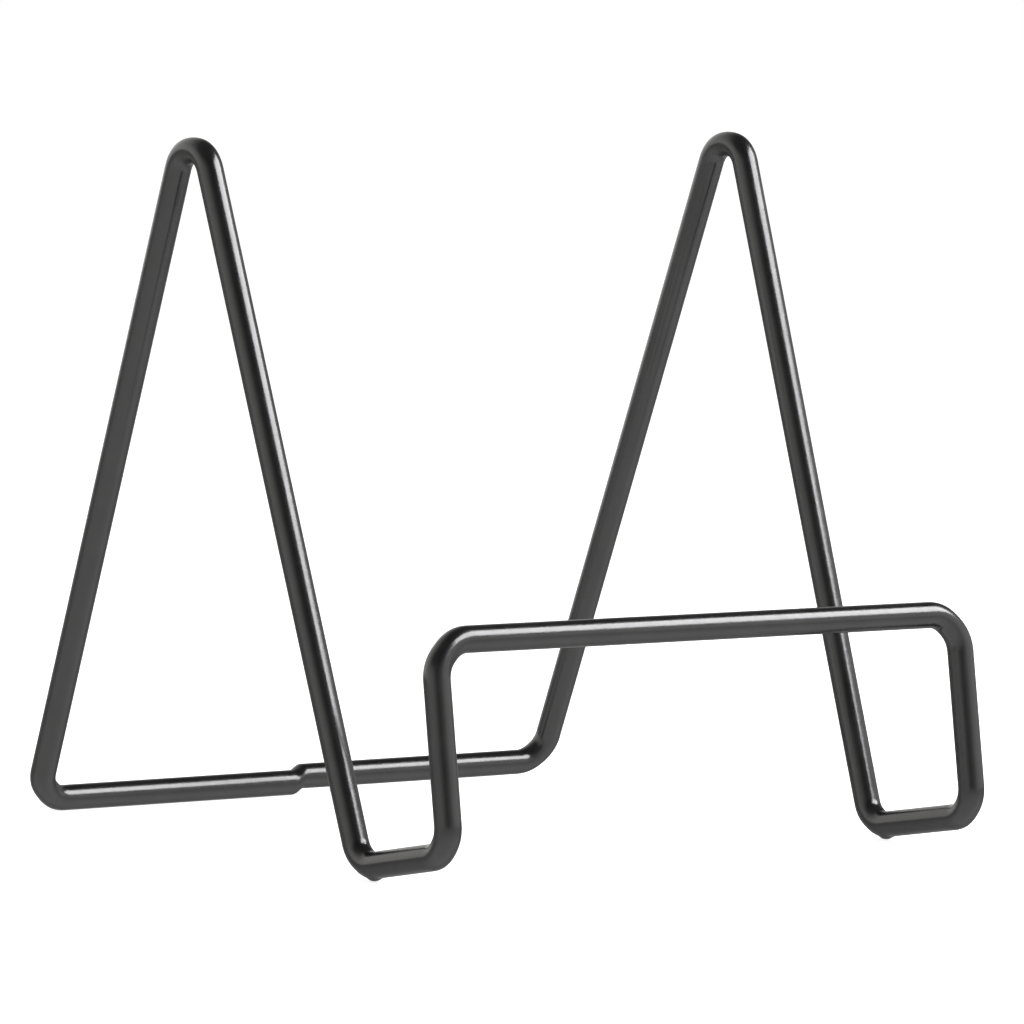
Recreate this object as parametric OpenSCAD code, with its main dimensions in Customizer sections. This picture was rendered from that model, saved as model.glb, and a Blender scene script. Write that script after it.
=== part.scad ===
// Easel stand for an album, a photo or a plate, bent from one round wire.
// The wire is a closed loop with ten bends, and one butt weld closes it in the middle of
// the rear bar. From the weld each half of the loop runs out to a rear corner, up the rear
// leg, over the apex, down the front leg to the foot, forward along the ledge, up the lip
// riser and across the lip bar to the other half.
// Millimetres. Seen from the front, -X is left, +Y runs to the back and +Z is up. The table
// is z = 0, and the origin lies on it under the middle of the stand.
// A corner point is where the centrelines of two straight runs would meet.

/* [Wire] */
// Diameter of the coated wire
wire_d = 4; // [3:0.1:5]
// Length of the butt weld along the rear bar
weld_len = 2; // [1:0.1:4]
// How far the weld's right end sits above its left end
weld_step = 0.9; // [0:0.1:1.5]
// Thickness of each flat end of the weld
weld_land = 0.2; // [0.1:0.05:0.4]

/* [Frame] */
// Width over the wire at the feet, the ledge and the lip
stand_w = 101.6; // [70:0.2:160]
// How much farther apart the leg tops are than the feet
apex_spread = 4.2; // [0:0.5:10]
// Mean height of the two apex corner points above the foot corner points
apex_rise = 111.1; // [80:0.1:160]
// How far the right apex sits above the left one
apex_step = 1.6; // [0:0.1:3]
// Distance of the apex corner points behind the mean foot corner point
apex_back = 42.3; // [25:0.1:60]
// Distance of the rear bar's centreline behind the mean foot corner point
rear_back = 85.9; // [65:0.1:120]
// How far the left foot stands in front of the right one
foot_step = 2; // [0:0.1:3]

/* [Ledge and lip] */
// Distance of the ledge corner points in front of the mean foot corner point
ledge_reach = 22.8; // [16:0.1:40]
// Rise of the ledge from the foot corner point to the ledge corner point
ledge_rise = 4.3; // [1:0.1:10]
// Height of the lip bar's centreline above the ledge corner point
lip_rise = 30.1; // [20:0.1:50]
// How far the lip leans back over its height
lip_lean = 4.9; // [0:0.1:10]

/* [Bends] */
// Centreline radius of the bend from the rear bar into the rear leg
rear_bend_r = 5; // [4:0.1:9]
// Centreline radius of the bend over the apex
apex_bend_r = 4.6; // [4:0.1:9]
// Centreline radius of the bend under the foot
foot_bend_r = 4.5; // [3.5:0.1:7]
// Centreline radius of the bend from the ledge into the lip riser
ledge_bend_r = 4.5; // [3.5:0.1:7]
// Centreline radius of the bend from the lip riser into the lip bar
lip_bend_r = 5.8; // [4:0.1:9]

/* [Coating] */
// Depth of the bead of coating that hangs under each foot
bead_depth = 0.3; // [0.1:0.05:0.6]
// Diameter of the bead of coating under each foot
bead_d = 3; // [2:0.1:4]
// How far the bead stays back from the start of the ledge arm
bead_gap = 0.1; // [0.05:0.05:0.5]
// Colour of the satin black coating
coat = [0.08, 0.08, 0.085]; // [0:0.005:1]

/* [Hidden] */
$fn = 96;

// The sign of x on each half of the loop
LEFT = -1;
RIGHT = 1;

// Place of each corner in the list of corner points of one half
WELD = 0;
REAR = 1;
APEX = 2;
FOOT = 3;
LEDGE = 4;
LIP = 5;

wire_r = wire_d / 2;
base_x = stand_w / 2 - wire_r;
apex_x = base_x + apex_spread / 2;
lip_back = lip_lean - ledge_reach;
lip_level = ledge_rise + lip_rise;
bend_r = [0, rear_bend_r, apex_bend_r, foot_bend_r, ledge_bend_r, lip_bend_r];

function unit(v) = v / norm(v);

// Corner points of one half. x is measured from the middle plane, y from the mean of the two
// foot corner points and z from the half's own foot corner point.
function foot_corner(side) = [side * base_x, side * foot_step / 2, 0];
function apex_corner(side) = [side * apex_x, apex_back, apex_rise + side * apex_step / 2];
function ledge_corner(side) = [side * base_x, -ledge_reach, ledge_rise];
function lip_corner(side) = [side * base_x, lip_back, lip_level];

// A bend at corner point p joins the runs from point a and to point b. The runs enclose
// twice the angle half, and each is shortened by the setback where it meets the bend.
function half(a, p, b) = acos(unit(a - p) * unit(b - p)) / 2;
function setback(a, p, b, r) = r / tan(half(a, p, b));
function centre(a, p, b, r) = p + unit(unit(a - p) + unit(b - p)) * r / sin(half(a, p, b));
function axis(a, p, b) = unit(cross(p - a, b - p));

// The foot bend's lowest point stands on the table through its bead of coating
function foot_axis(side) = axis(apex_corner(side), foot_corner(side), ledge_corner(side));
function foot_centre(side) =
    centre(apex_corner(side), foot_corner(side), ledge_corner(side), foot_bend_r);
function foot_down(side) = unit(foot_axis(side).z * foot_axis(side) - [0, 0, 1]);
function foot_low(side) = foot_centre(side) + foot_bend_r * foot_down(side);
function foot_level(side) = wire_r + bead_depth - foot_low(side).z;

// The origin is half way between the front of the foremost ledge bend and the rear bar's back
function ledge_centre(side) =
    centre(foot_corner(side), ledge_corner(side), lip_corner(side), ledge_bend_r);
front_y = min(ledge_centre(LEFT).y, ledge_centre(RIGHT).y) - ledge_bend_r - wire_r;
back_y = rear_back + wire_r;
function foot_place(side) = [0, -(front_y + back_y) / 2, foot_level(side)];

// The rear bar lies on the table, its right half raised by the step at the weld
function rear_level(side) = wire_r + (side == RIGHT ? weld_step : 0) - foot_level(side);
function weld_end(side) = [side * weld_len / 2, rear_back, rear_level(side)];
function rear_corner(side) = [side * base_x, rear_back, rear_level(side)];

// All the corner points of one half in the part's own frame, on to the other half's lip
function path(side) = concat(
    [for (p = [
        weld_end(side), rear_corner(side), apex_corner(side), foot_corner(side),
        ledge_corner(side), lip_corner(side)
    ]) p + foot_place(side)],
    [lip_corner(-side) + foot_place(-side)]
);
function inset(p, i) = bend_r[i] == 0 ? 0 : setback(p[i - 1], p[i], p[i + 1], bend_r[i]);

// Straight run from corner i to the next one, between the bends at its two ends
module run(side, i, next_inset = -1) {
    p = path(side);
    dir = unit(p[i + 1] - p[i]);
    start = p[i] + dir * inset(p, i);
    end = p[i + 1] - dir * (next_inset < 0 ? inset(p, i + 1) : next_inset);
    translate(start)
        rotate([0, acos(dir.z), atan2(dir.y, dir.x)])
            cylinder(h = norm(end - start), r = wire_r);
}

// Bend at corner i, swept from the end of one run to the start of the next
module bend(side, i) {
    p = path(side);
    c = centre(p[i - 1], p[i], p[i + 1], bend_r[i]);
    z = axis(p[i - 1], p[i], p[i + 1]);
    y = unit(p[i] - p[i - 1]);
    x = cross(y, z);
    turn = 180 - 2 * half(p[i - 1], p[i], p[i + 1]);
    multmatrix([
        [x.x, y.x, z.x, c.x],
        [x.y, y.y, z.y, c.y],
        [x.z, y.z, z.z, c.z],
        [0, 0, 0, 1]
    ])
        rotate_extrude(angle = turn)
            translate([bend_r[i], 0])
                circle(r = wire_r);
}

// Bead of coating that hangs from the foot bend's lowest point and stops short of the ledge arm
module bead(side) {
    p = path(side);
    dir = unit(p[LEDGE] - p[FOOT]);
    end = p[FOOT] + dir * (inset(p, FOOT) - bead_gap);
    difference() {
        translate([foot_low(side).x, foot_low(side).y + foot_place(side).y, bead_d / 2])
            sphere(d = bead_d);
        translate(end)
            rotate([0, acos(dir.z), atan2(dir.y, dir.x)])
                cylinder(h = wire_d, r = wire_d);
    }
}

// Flat end of the weld, full wire size, with its outer face on the end of the rear bar
module weld_face(side) {
    p = path(side)[WELD] - [side * weld_land / 2, 0, 0];
    translate(p)
        rotate([0, 90, 0])
            cylinder(h = weld_land, r = wire_r, center = true, $fn = 48);
}

module rear_bar(side) color(coat) run(side, WELD);
module rear_bend(side) color(coat) bend(side, REAR);
module rear_leg(side) color(coat) run(side, REAR);
module apex_bend(side) color(coat) bend(side, APEX);
module front_leg(side) color(coat) run(side, APEX);
module foot_bend(side) color(coat) union() {
    bend(side, FOOT);
    bead(side);
}
module ledge_arm(side) color(coat) run(side, FOOT);
module ledge_bend(side) color(coat) bend(side, LEDGE);
module lip_riser(side) color(coat) run(side, LEDGE);
module lip_bend(side) color(coat) bend(side, LIP);
module lip_bar() color(coat) run(LEFT, LIP, inset(path(RIGHT), LIP));
module butt_weld() color(coat) hull() {
    weld_face(LEFT);
    weld_face(RIGHT);
}

rear_bar(LEFT);  // rear_bar_left
rear_bend(LEFT);  // rear_corner_left
rear_leg(LEFT);  // rear_leg_left
apex_bend(LEFT);  // apex_bend_left
front_leg(LEFT);  // front_leg_left
foot_bend(LEFT);  // foot_bend_left
ledge_arm(LEFT);  // ledge_arm_left
ledge_bend(LEFT);  // ledge_bend_left
lip_riser(LEFT);  // lip_riser_left
lip_bend(LEFT);  // lip_corner_left
lip_bar();
lip_bend(RIGHT);  // lip_corner_right
lip_riser(RIGHT);  // lip_riser_right
ledge_bend(RIGHT);  // ledge_bend_right
ledge_arm(RIGHT);  // ledge_arm_right
foot_bend(RIGHT);  // foot_bend_right
front_leg(RIGHT);  // front_leg_right
apex_bend(RIGHT);  // apex_bend_right
rear_leg(RIGHT);  // rear_leg_right
rear_bend(RIGHT);  // rear_corner_right
rear_bar(RIGHT);  // rear_bar_right
butt_weld();
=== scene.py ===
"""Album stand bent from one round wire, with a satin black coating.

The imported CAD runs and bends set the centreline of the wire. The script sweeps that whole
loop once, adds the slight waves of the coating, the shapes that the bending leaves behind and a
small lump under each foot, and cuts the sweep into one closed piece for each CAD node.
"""
from math import cos, pi, radians, sin, tan

import bpy
import numpy as np
from mathutils import Matrix, Vector, noise

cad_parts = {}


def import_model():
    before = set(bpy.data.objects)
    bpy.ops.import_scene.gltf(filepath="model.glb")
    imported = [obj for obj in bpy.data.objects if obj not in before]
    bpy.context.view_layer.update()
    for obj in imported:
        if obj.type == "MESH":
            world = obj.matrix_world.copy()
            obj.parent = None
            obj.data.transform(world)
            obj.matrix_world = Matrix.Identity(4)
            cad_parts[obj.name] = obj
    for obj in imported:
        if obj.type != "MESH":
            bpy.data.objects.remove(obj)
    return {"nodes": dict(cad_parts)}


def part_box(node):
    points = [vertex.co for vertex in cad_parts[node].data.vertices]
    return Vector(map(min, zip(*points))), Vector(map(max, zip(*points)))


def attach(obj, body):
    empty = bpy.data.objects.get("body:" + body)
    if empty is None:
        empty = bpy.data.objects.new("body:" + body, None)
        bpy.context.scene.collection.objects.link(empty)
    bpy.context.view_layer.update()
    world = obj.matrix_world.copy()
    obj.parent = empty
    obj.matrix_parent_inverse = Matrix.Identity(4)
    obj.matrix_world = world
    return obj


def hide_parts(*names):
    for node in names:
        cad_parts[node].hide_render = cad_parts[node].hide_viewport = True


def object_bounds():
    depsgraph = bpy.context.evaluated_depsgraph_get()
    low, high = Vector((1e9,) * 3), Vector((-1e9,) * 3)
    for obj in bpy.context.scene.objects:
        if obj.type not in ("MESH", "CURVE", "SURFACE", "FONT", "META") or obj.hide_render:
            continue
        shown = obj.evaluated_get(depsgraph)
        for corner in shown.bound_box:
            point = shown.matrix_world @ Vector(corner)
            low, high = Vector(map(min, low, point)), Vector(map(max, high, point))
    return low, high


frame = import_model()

CAD_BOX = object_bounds()

MM = 0.001

# The loop, in order from the weld's left end round to its right end. Runs and bends alternate.
SIDE = ("rear_bar", "rear_corner", "rear_leg", "apex_bend", "front_leg", "foot_bend",
        "ledge_arm", "ledge_bend", "lip_riser", "lip_corner")
LOOP = ([name + "_left" for name in SIDE] + ["lip_bar"]
        + [name + "_right" for name in reversed(SIDE)])
WELD = "butt_weld"

# Fineness of the sweep
RING_SIDES = 72
RUN_STEP = 0.5 * MM
BEND_STEP = 0.2 * MM
WELD_STEP = 0.08 * MM
LEAST_RUN_STEPS = 2
LEAST_BEND_STEPS = 6
# A face whose normal lies this much along a run belongs to the run's flat cap
CAP_FACING = 0.9

# Slow unevenness of the coating
WAVE_HEIGHT = 0.010 * MM
WAVE_LENGTH = 4.0 * MM
# How far a bend's outer side is flattened and its inner side bulges, as shares of the wire radius
BEND_FLAT = 0.09
BEND_BULGE = 0.05
NO_BEND = np.zeros(3)
# Small lump on the underside of each foot, where the stand meets the floor: its half width, how
# far it sits in front of the foot bend's lowest point, how far it stays above the CAD lump's
# lowest point, and the share of its full height at which it ends
FOOT_LUMP_WIDTH = 1.15 * MM
FOOT_LUMP_FORWARD = 1.0 * MM
FOOT_LUMP_CLEAR = 0.002 * MM
FOOT_LUMP_EDGE = 0.01

# Camera, measured round the middle of the CAD box
CAMERA_LENS = 230.4
CAMERA_AZIMUTH = -36.69
CAMERA_ELEVATION = 4.45
CAMERA_ROLL = 1.15
CAMERA_DISTANCE = 1000.2 * MM
CAMERA_AIM = Vector((1.66, 0.0, -4.44)) * MM
CAMERA_SENSOR = 36
CAMERA_REACH = 100

# Coating: refraction, the noise range that the textures use, and each texture's feature size,
# detail and depth
COAT_IOR = 1.5
NOISE_LOW, NOISE_HIGH = 0.3, 0.7
CLOUD_SIZE, CLOUD_DETAIL = 5 * MM, 3
CLOUD_LOW, CLOUD_HIGH = 0.35, 0.70
DEEP_BLACK = (0.005, 0.005, 0.0054, 1)
THIN_BLACK = (0.008, 0.008, 0.0084, 1)
GLOSS_SIZE, GLOSS_DETAIL = 1.5 * MM, 4
GLOSSIEST, DULLEST = 0.18, 0.26
RIPPLE_SIZE, RIPPLE_DETAIL, RIPPLE_HEIGHT = 1.2 * MM, 2, 0.016 * MM
GRAIN_SIZE, GRAIN_DETAIL, GRAIN_HEIGHT = 0.38 * MM, 3, 0.0065 * MM

# Floor, in metres, and the white backdrop that the camera sees beyond it
FLOOR_RADIUS = 30.0
FLOOR_SIDES = 64
FLOOR_COLOUR = (0.6, 0.6, 0.6, 1)
FLOOR_GLOW = 0.8
BACKDROP = 1.0
WHITE = (1, 1, 1, 1)

# Key light: place round the object, angles that it spans, and radiance
KEY_AZIMUTH, KEY_ELEVATION, KEY_DISTANCE = 46, 39, 0.9
KEY_WIDTH, KEY_HEIGHT = 48, 28
KEY_RADIANCE = 15
KEY_TINT = (1.0, 0.985, 1.0)

# The walls that the wire mirrors: brightness from behind the key light (-1) round to it (1)
WALL_AZIMUTH = 45
WALLS = ((-1.0, 1.7), (-0.6, 1.5), (-0.3, 1.0), (0.0, 0.45), (0.25, 0.28), (0.6, 0.6), (1.0, 1.6))
WALLS_MOST = 2.0
WALL_TINT = (1.0, 0.99, 0.965, 1)
# They darken between these heights, given as sines of elevation, to a share of their brightness.
# Behind the stand they stay paler.
CEILING_LOW, CEILING_HIGH = 0.2, 0.7
CEILING_SHARE = 0.15
BACK_AZIMUTH = 190
BACK_EDGE, BACK_MIDDLE = 0.3, 0.8
BACK_CEILING_SHARE = 0.75
# The ground that the wire mirrors: darker towards the back right, and towards the horizon
GROUND_AZIMUTH = 150
GROUND_EDGE, GROUND_MIDDLE = -0.2, 0.6
GROUND_FRONT = 1.55
GROUND_BACK = 0.5
GROUND_LOW, GROUND_HIGH = -0.55, -0.05
HORIZON_SHARE = 0.7
HORIZON_LOW, HORIZON_HIGH = -0.03, 0.01
GROUND_TINT = (1.0, 0.99, 0.975, 1)


# ---------------------------------------------------------------- centreline

def unit(v):
    return v / np.linalg.norm(v)


def run_ends(name):
    """The two ends of a straight run's centreline, from the flat caps of its CAD mesh."""
    mesh = frame["nodes"][name].data
    count = len(mesh.polygons)
    normals, centres, areas = np.empty(count * 3), np.empty(count * 3), np.empty(count)
    mesh.polygons.foreach_get("normal", normals)
    mesh.polygons.foreach_get("center", centres)
    mesh.polygons.foreach_get("area", areas)
    normals, centres = normals.reshape(-1, 3), centres.reshape(-1, 3)
    points = np.array([v.co for v in mesh.vertices])
    axis = np.linalg.svd(points - points.mean(0), full_matrices=False)[2][0]
    ends = []
    for sign in (-1, 1):
        cap = normals @ axis * sign > CAP_FACING
        ends.append((centres[cap] * areas[cap, None]).sum(0) / areas[cap].sum())
    return ends


def wire_radius(name):
    """Farthest that a straight run's surface lies from its centreline."""
    start, end = run_ends(name)
    points = np.array([v.co for v in frame["nodes"][name].data.vertices]) - start
    along = unit(end - start)
    return np.linalg.norm(points - np.outer(points @ along, along), axis=1).max()


def straight(start, end, step):
    """Stations along a straight run: each one's place, heading and outward side of the bend."""
    count = max(LEAST_RUN_STEPS, round(np.linalg.norm(end - start) / step))
    heading = unit(end - start)
    return [(start + (end - start) * i / count, heading, NO_BEND) for i in range(1, count + 1)]


def arc(start, heading, end, step):
    """Stations on the arc that leaves start along heading and reaches end.

    Each one's last vector points outwards from the bend, and is longest half way round."""
    chord = end - start
    across = chord - heading * (chord @ heading)
    half_turn = np.arctan2(np.linalg.norm(across), chord @ heading)
    radius = np.linalg.norm(chord) / (2 * sin(half_turn))
    inwards = unit(across)
    centre = start + inwards * radius
    count = max(LEAST_BEND_STEPS, round(2 * half_turn * radius / step))
    stations = []
    for i in range(1, count + 1):
        turn = 2 * half_turn * i / count
        outwards = heading * sin(turn) - inwards * cos(turn)
        ahead = heading * cos(turn) + inwards * sin(turn)
        stations.append((centre + radius * outwards, ahead, outwards * sin(pi * i / count) ** 2))
    return stations


def weld_curve(start, heading, end, step):
    """Stations across the weld, whose centreline steps down smoothly between its level ends."""
    count = max(LEAST_BEND_STEPS, round(np.linalg.norm(end - start) / step))
    stations = []
    for i in range(1, count + 1):
        t = i / count
        share = np.array([t, t, t * t * (3 - 2 * t)])
        stations.append((start + (end - start) * share, heading, NO_BEND))
    return stations


def ordered_runs():
    """Start and end of each straight run, in the direction of the loop."""
    runs, here = {}, np.array([0.0, CAD_BOX[1][1], 0.0])
    for name in LOOP[0::2]:
        runs[name] = sorted(run_ends(name), key=lambda p: np.linalg.norm(p - here))
        here = runs[name][1]
    return runs


def centreline():
    """All stations of the loop, and the first and last station's number of each piece."""
    runs = ordered_runs()
    first_end = runs[LOOP[0]]
    heading = unit(first_end[1] - first_end[0])
    stations, spans = [(first_end[0], heading, NO_BEND)], {}
    for name, after in zip(LOOP, LOOP[1:] + [None]):
        begin = len(stations) - 1
        here, heading = stations[-1][:2]
        if name in runs:
            stations += straight(here, runs[name][1], RUN_STEP)
        else:
            stations += arc(here, heading, runs[after][0], BEND_STEP)
        spans[name] = (begin, len(stations) - 1)
    begin = len(stations) - 1
    here, heading = stations[-1][:2]
    stations += weld_curve(here, heading, first_end[0], WELD_STEP)
    spans[WELD] = (begin, len(stations) - 1)
    places, headings, outwards = (np.array(column) for column in zip(*stations))
    return places, headings, outwards, spans


# ---------------------------------------------------------------- sweep

def ring_axes(places, headings):
    """Two axes across the wire at each station, turned evenly so that the loop closes."""
    first = unit(np.cross(headings[0], (0, 0, 1)))
    sideways = [first]
    for heading in headings[1:]:
        last = sideways[-1]
        sideways.append(unit(last - heading * (last @ heading)))
    sideways = np.array(sideways)
    upwards = np.cross(headings, sideways)
    twist = np.arctan2(first @ upwards[-1], first @ sideways[-1])
    steps = np.linalg.norm(np.diff(places, axis=0), axis=1)
    share = np.concatenate(([0], np.cumsum(steps))) / steps.sum()
    cosines, sines = np.cos(share * twist)[:, None], np.sin(share * twist)[:, None]
    return sideways * cosines + upwards * sines, upwards * cosines - sideways * sines


def waves(grid):
    """Slight unevenness of the coating, from 0 to 1, that runs on from piece to piece."""
    points = grid.reshape(-1, 3) / WAVE_LENGTH
    heights = np.array([noise.noise(Vector(p)) for p in points])
    return heights.reshape(grid.shape[:2]) * 0.5 + 0.5


def hang_foot_lump(grid, radius, places, span, foot):
    """Pulls the underside of a foot bend down into a small lump, where the stand meets the floor.
    """
    first, last = span
    bend = places[first:last + 1]
    target = bend[bend[:, 2].argmin()] - (0, FOOT_LUMP_FORWARD, 0)
    middle = places[np.linalg.norm(places - target, axis=1).argmin()]
    offset = grid - middle
    spread = (offset[..., 0] ** 2 + offset[..., 1] ** 2) / FOOT_LUMP_WIDTH ** 2
    below = np.clip(-offset[..., 2] / radius, 0, 1)
    lump = np.exp(-spread ** 2) * below ** 2
    hanging = lump > FOOT_LUMP_EDGE
    gap = grid[..., 2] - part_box(foot)[0].z - FOOT_LUMP_CLEAR
    grid[..., 2] -= lump * (gap[hanging] / lump[hanging]).min()


def bend_squash(spokes, outwards):
    """How far a bend's surface moves in: flatter on its outer side, bulging on its inner side."""
    side = np.einsum("ijk,ik->ij", spokes, outwards)
    return (BEND_FLAT + BEND_BULGE) / 2 * side ** 2 + (BEND_FLAT - BEND_BULGE) / 2 * side


def sweep():
    """Surface points and normals of the whole loop, ring by ring, and each piece's rings."""
    places, headings, outwards, spans = centreline()
    radius = wire_radius(LOOP[0])
    sideways, upwards = ring_axes(places, headings)
    angles = np.arange(RING_SIDES) * 2 * pi / RING_SIDES
    spokes = (sideways[:, None] * np.cos(angles)[None, :, None]
              + upwards[:, None] * np.sin(angles)[None, :, None])
    grid = places[:, None] + radius * spokes
    grid -= spokes * (WAVE_HEIGHT * waves(grid))[..., None]
    grid -= outwards[:, None] * (radius * bend_squash(spokes, outwards))[..., None]
    for foot in ("foot_bend_left", "foot_bend_right"):
        hang_foot_lump(grid, radius, places, spans[foot], foot)
    grid[-1] = grid[0]
    return grid, grid_normals(grid), spans


def grid_normals(grid):
    """Outward unit normals of a closed loop of rings."""
    open_rings = grid[:-1]
    ahead = np.roll(open_rings, -1, 0) - open_rings
    behind = open_rings - np.roll(open_rings, 1, 0)
    near = np.linalg.norm(ahead, axis=2, keepdims=True)
    far = np.linalg.norm(behind, axis=2, keepdims=True)
    along = ahead / near * far + behind / far * near
    around = np.roll(open_rings, -1, 1) - np.roll(open_rings, 1, 1)
    normals = np.cross(around, along)
    normals /= np.linalg.norm(normals, axis=2, keepdims=True)
    return np.concatenate((normals, normals[:1]))


# ---------------------------------------------------------------- pieces

def wire_piece(name, rings, normals):
    """One closed stretch of wire, flat at both ends, that stands for the CAD node name."""
    count = len(rings)
    middles = rings[[0, -1]].mean(1)
    vertices = np.concatenate((rings.reshape(-1, 3), middles))
    start_middle, end_middle = count * RING_SIDES, count * RING_SIDES + 1
    faces, shading = [], []
    for i in range(count - 1):
        for j in range(RING_SIDES):
            k = (j + 1) % RING_SIDES
            corners = ((i, j), (i, k), (i + 1, k), (i + 1, j))
            faces.append([a * RING_SIDES + b for a, b in corners])
            shading += [normals[a, b] for a, b in corners]
    ahead = unit(middles[1] - rings[-2].mean(0))
    back = unit(middles[0] - rings[1].mean(0))
    for j in range(RING_SIDES):
        k = (j + 1) % RING_SIDES
        last = (count - 1) * RING_SIDES
        faces += [[start_middle, k, j], [end_middle, last + j, last + k]]
        shading += [back] * 3 + [ahead] * 3
    mesh = bpy.data.meshes.new("wire_" + name)
    mesh.from_pydata(vertices.tolist(), [], faces)
    mesh.shade_smooth()
    mesh.normals_split_custom_set([tuple(n) for n in shading])
    piece = bpy.data.objects.new("wire_" + name, mesh)
    bpy.context.scene.collection.objects.link(piece)
    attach(piece, "root")
    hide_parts(name)
    return piece


# ---------------------------------------------------------------- shader nodes

def add_node(tree, kind, inputs):
    """A new node, with each input set to a number or linked from another node's output."""
    node = tree.nodes.new(kind)
    for name, value in inputs.items():
        if isinstance(value, bpy.types.NodeSocket):
            tree.links.new(value, node.inputs[name])
        else:
            node.inputs[name].default_value = value
    return node


def coordinates(tree, kind):
    return add_node(tree, "ShaderNodeTexCoord", {}).outputs[kind]


def noise_texture(tree, feature, detail):
    """Noise with features of this size. Object coordinates are in metres."""
    inputs = {"Vector": coordinates(tree, "Object"), "Scale": 1 / feature, "Detail": detail}
    return add_node(tree, "ShaderNodeTexNoise", inputs).outputs["Fac"]


def remap(tree, value, given, wanted, interpolation="LINEAR"):
    """Value moved from the range given to the range wanted, and kept within it."""
    inputs = {"Value": value, "From Min": given[0], "From Max": given[1],
              "To Min": wanted[0], "To Max": wanted[1]}
    node = add_node(tree, "ShaderNodeMapRange", inputs)
    node.interpolation_type = interpolation
    return node.outputs["Result"]


def times(tree, first, second):
    node = add_node(tree, "ShaderNodeMath", {0: first, 1: second})
    node.operation = "MULTIPLY"
    return node.outputs["Value"]


# ---------------------------------------------------------------- material

def black_coat():
    """Satin black powder coating on steel wire."""
    material = bpy.data.materials.new("black_coat")
    material.use_nodes = True
    tree = material.node_tree
    tree.nodes.clear()

    # Colour: near black, with faint paler clouds where the film is thinner
    clouds = add_node(tree, "ShaderNodeValToRGB",
                      {"Fac": noise_texture(tree, CLOUD_SIZE, CLOUD_DETAIL)})
    deep, thin = clouds.color_ramp.elements
    deep.position, deep.color = CLOUD_LOW, DEEP_BLACK
    thin.position, thin.color = CLOUD_HIGH, THIN_BLACK

    # Gloss: satin, a little uneven from place to place
    gloss = remap(tree, noise_texture(tree, GLOSS_SIZE, GLOSS_DETAIL),
                  (NOISE_LOW, NOISE_HIGH), (GLOSSIEST, DULLEST))

    # Surface: the slow ripple of a baked coating under its fine grain
    ripple = add_node(tree, "ShaderNodeBump",
                      {"Height": noise_texture(tree, RIPPLE_SIZE, RIPPLE_DETAIL),
                       "Distance": RIPPLE_HEIGHT})
    grain = add_node(tree, "ShaderNodeBump",
                     {"Height": noise_texture(tree, GRAIN_SIZE, GRAIN_DETAIL),
                      "Distance": GRAIN_HEIGHT, "Normal": ripple.outputs["Normal"]})

    shader = add_node(tree, "ShaderNodeBsdfPrincipled",
                      {"Base Color": clouds.outputs["Color"], "Metallic": 0.0, "IOR": COAT_IOR,
                       "Roughness": gloss, "Normal": grain.outputs["Normal"]})
    add_node(tree, "ShaderNodeOutputMaterial", {"Surface": shader.outputs["BSDF"]})
    return material


# ---------------------------------------------------------------- studio

def floor_material():
    """Matt pale grey that also glows a little, so that the floor stays close to white."""
    material = bpy.data.materials.new("pale_floor")
    material.use_nodes = True
    shader = material.node_tree.nodes["Principled BSDF"]
    shader.inputs["Base Color"].default_value = FLOOR_COLOUR
    shader.inputs["Roughness"].default_value = 1.0
    shader.inputs["Emission Color"].default_value = WHITE
    shader.inputs["Emission Strength"].default_value = FLOOR_GLOW
    return material


def floor():
    """A round floor under the stand. It takes the shadows, and the wire doesn't mirror it."""
    mesh = bpy.data.meshes.new("floor")
    turns = [i * 2 * pi / FLOOR_SIDES for i in range(FLOOR_SIDES)]
    level = CAD_BOX[0].z
    rim = [(FLOOR_RADIUS * cos(turn), FLOOR_RADIUS * sin(turn), level) for turn in turns]
    mesh.from_pydata(rim, [], [range(FLOOR_SIDES)])
    mesh.materials.append(floor_material())
    plane = bpy.data.objects.new("floor", mesh)
    bpy.context.scene.collection.objects.link(plane)
    plane.visible_glossy = False


def towards(tree, azimuth):
    """How far a ray heads towards azimuth: 1 straight at it, -1 straight away from it."""
    inputs = {0: coordinates(tree, "Generated"), 1: around(azimuth, 0, 1, Vector())}
    node = add_node(tree, "ShaderNodeVectorMath", inputs)
    node.operation = "DOT_PRODUCT"
    return node.outputs["Value"]


def wall_brightness(tree, up):
    """The walls, which darken towards the ceiling and less so behind the stand."""
    half_way = remap(tree, towards(tree, WALL_AZIMUTH), (-1, 1), (0, 1))
    walls = add_node(tree, "ShaderNodeValToRGB", {"Fac": half_way})
    ramp = walls.color_ramp
    ramp.interpolation = "EASE"
    for direction, _ in WALLS[1:-1]:
        ramp.elements.new((direction + 1) / 2)
    for element, (direction, brightness) in zip(ramp.elements, WALLS):
        element.position = (direction + 1) / 2
        element.color = [brightness / WALLS_MOST] * 3 + [1]
    share = remap(tree, towards(tree, BACK_AZIMUTH), (BACK_EDGE, BACK_MIDDLE),
                  (CEILING_SHARE, BACK_CEILING_SHARE), "SMOOTHSTEP")
    height = remap(tree, up, (CEILING_LOW, CEILING_HIGH), (0, 1), "SMOOTHSTEP")
    ceiling = remap(tree, height, (0, 1), (1, share))
    return times(tree, times(tree, walls.outputs["Color"], ceiling), WALLS_MOST)


def ground_brightness(tree, up):
    """The ground, which darkens towards the back right and towards the horizon."""
    sideways = remap(tree, towards(tree, GROUND_AZIMUTH), (GROUND_EDGE, GROUND_MIDDLE),
                     (GROUND_FRONT, GROUND_BACK), "SMOOTHSTEP")
    upwards = remap(tree, up, (GROUND_LOW, GROUND_HIGH), (1, HORIZON_SHARE), "SMOOTHSTEP")
    return times(tree, sideways, upwards)


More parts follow.
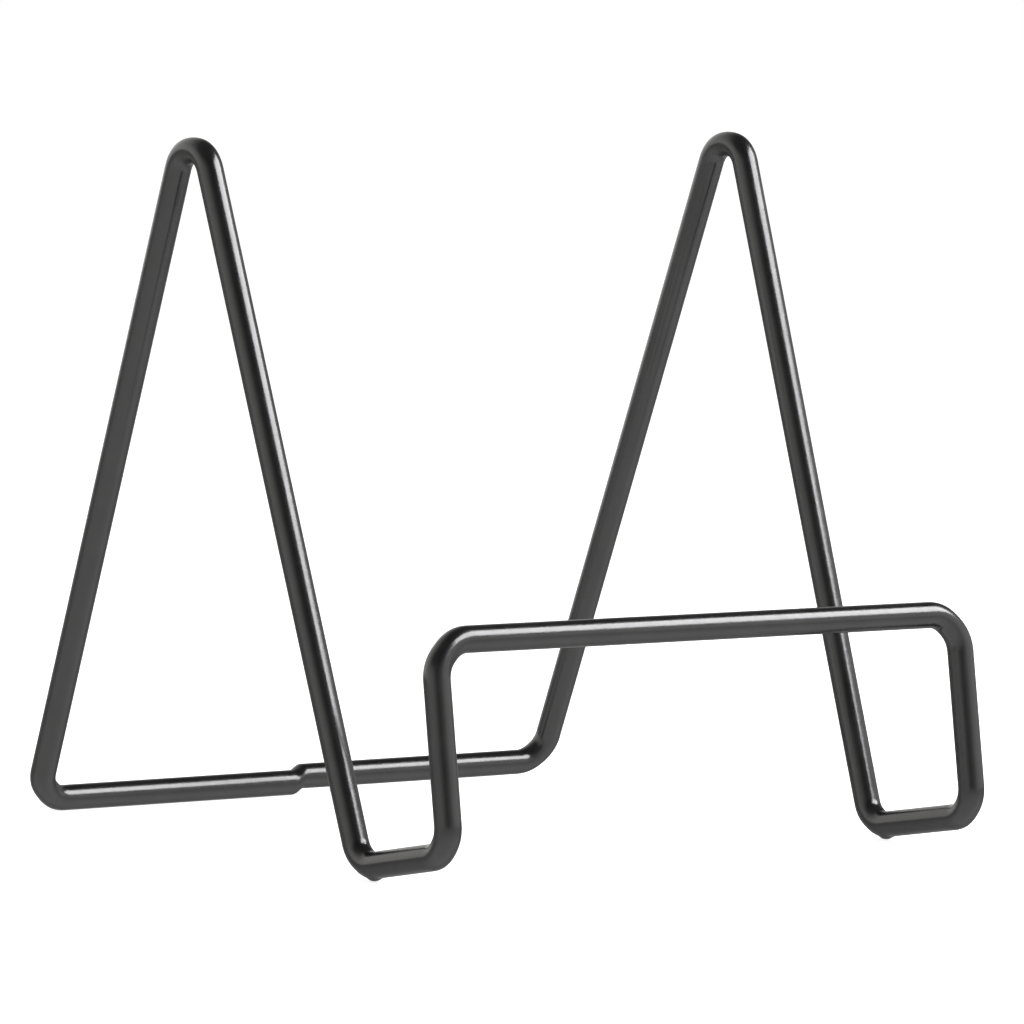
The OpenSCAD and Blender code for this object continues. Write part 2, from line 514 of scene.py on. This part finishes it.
def world():
    """A white backdrop for the camera, and for the wire a room with walls, ceiling and ground."""
    sky = bpy.data.worlds.new("studio")
    bpy.context.scene.world = sky
    sky.use_nodes = True
    tree = sky.node_tree
    tree.nodes.clear()

    def background(tint, strength):
        node = add_node(tree, "ShaderNodeBackground", {"Color": tint, "Strength": strength})
        return node.outputs["Background"]

    def mix(share, first, second):
        return add_node(tree, "ShaderNodeMixShader", {0: share, 1: first, 2: second}).outputs[0]

    direction = coordinates(tree, "Generated")
    up = add_node(tree, "ShaderNodeSeparateXYZ", {"Vector": direction}).outputs["Z"]
    above = remap(tree, up, (HORIZON_LOW, HORIZON_HIGH), (0, 1), "SMOOTHSTEP")
    room = mix(above, background(GROUND_TINT, ground_brightness(tree, up)),
               background(WALL_TINT, wall_brightness(tree, up)))
    seen = add_node(tree, "ShaderNodeLightPath", {}).outputs["Is Camera Ray"]
    surface = mix(seen, room, background(WHITE, BACKDROP))
    add_node(tree, "ShaderNodeOutputWorld", {"Surface": surface})


def around(azimuth, elevation, distance, centre):
    """Place at a distance from centre, where azimuth 0 is the front and 90 the right."""
    a, e = radians(azimuth), radians(elevation)
    return centre + distance * Vector((sin(a) * cos(e), -cos(a) * cos(e), sin(e)))


def key_light():
    """A panel of even light that faces the object and that the camera doesn't see."""
    middle = (CAD_BOX[0] + CAD_BOX[1]) / 2
    data = bpy.data.lights.new("key", "AREA")
    data.shape = "RECTANGLE"
    data.size = 2 * KEY_DISTANCE * tan(radians(KEY_WIDTH) / 2)
    data.size_y = 2 * KEY_DISTANCE * tan(radians(KEY_HEIGHT) / 2)
    data.energy = KEY_RADIANCE * pi * data.size * data.size_y
    data.color = KEY_TINT
    lamp = bpy.data.objects.new("key", data)
    lamp.location = around(KEY_AZIMUTH, KEY_ELEVATION, KEY_DISTANCE, middle)
    lamp.rotation_euler = (lamp.location - middle).to_track_quat("Z", "Y").to_euler()
    lamp.visible_camera = False
    bpy.context.scene.collection.objects.link(lamp)


def camera():
    """The camera at the photograph's viewing angle."""
    aim = (CAD_BOX[0] + CAD_BOX[1]) / 2 + CAMERA_AIM
    data = bpy.data.cameras.new("camera")
    data.sensor_width = CAMERA_SENSOR
    data.lens = CAMERA_LENS
    data.clip_end = CAMERA_REACH
    eye = bpy.data.objects.new("camera", data)
    eye.location = around(CAMERA_AZIMUTH, CAMERA_ELEVATION, CAMERA_DISTANCE, aim)
    facing = (eye.location - aim).to_track_quat("Z", "Y").to_matrix()
    roll = Matrix.Rotation(radians(CAMERA_ROLL), 3, "Z")
    eye.rotation_euler = (facing @ roll).to_euler()
    bpy.context.scene.collection.objects.link(eye)
    bpy.context.scene.camera = eye


def main():
    camera()
    floor()
    world()
    key_light()
    bpy.context.scene.view_settings.view_transform = "Standard"
    coat = black_coat()
    grid, normals, spans = sweep()
    for name, (first, last) in spans.items():
        piece = wire_piece(name, grid[first:last + 1], normals[first:last + 1])
        piece.data.materials.append(coat)


main()
